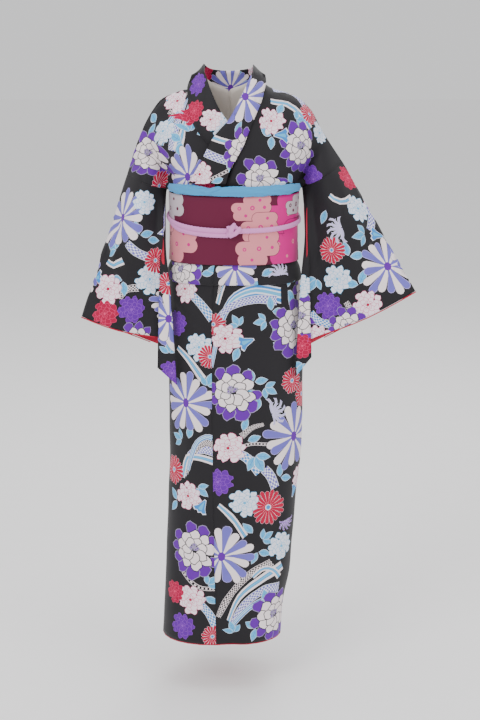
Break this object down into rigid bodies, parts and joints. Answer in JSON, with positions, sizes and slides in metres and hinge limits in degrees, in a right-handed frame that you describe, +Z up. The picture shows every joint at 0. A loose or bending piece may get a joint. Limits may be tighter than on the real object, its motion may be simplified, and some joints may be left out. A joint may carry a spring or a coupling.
{
  "type": "kimono",
  "caption": "Printed dark kimono worn left over right, with a wide burgundy belt in a drum knot, a blue sash and a pink cord.",
  "frame": {"origin": "Base of the neck between the shoulders, where the wearer carries the garment.", "axes": "+X is the wearer's left, +Y the back of the garment and +Z up, from the hem to the collar."},
  "size_m": [0.7712, 0.3118, 1.3652],
  "materials": {
    "printed_silk": "matt printed silk with a soft sheen",
    "lining_silk": "smooth lining silk",
    "belt_brocade": "firm woven silk",
    "sash_crepe": "crinkled crepe",
    "braided_cord": "flat silk braid"
  },
  "bodies": {
    "root": {"body_left": "printed_silk", "body_right": "printed_silk", "overlap_left": "printed_silk", "overlap_right": "printed_silk", "sleeve_left": "printed_silk", "sleeve_right": "printed_silk", "collar": "printed_silk", "cuff_lining_left": "lining_silk", "cuff_lining_right": "lining_silk", "hem_lining_left": "lining_silk", "hem_lining_back_left": "lining_silk", "hem_lining_right": "lining_silk", "hem_lining_back_right": "lining_silk", "belt": "belt_brocade", "belt_drum": "belt_brocade", "belt_tail": "belt_brocade", "sash": "sash_crepe", "cord": "braided_cord", "cord_knot": "braided_cord"}
  },
  "joints": []
}
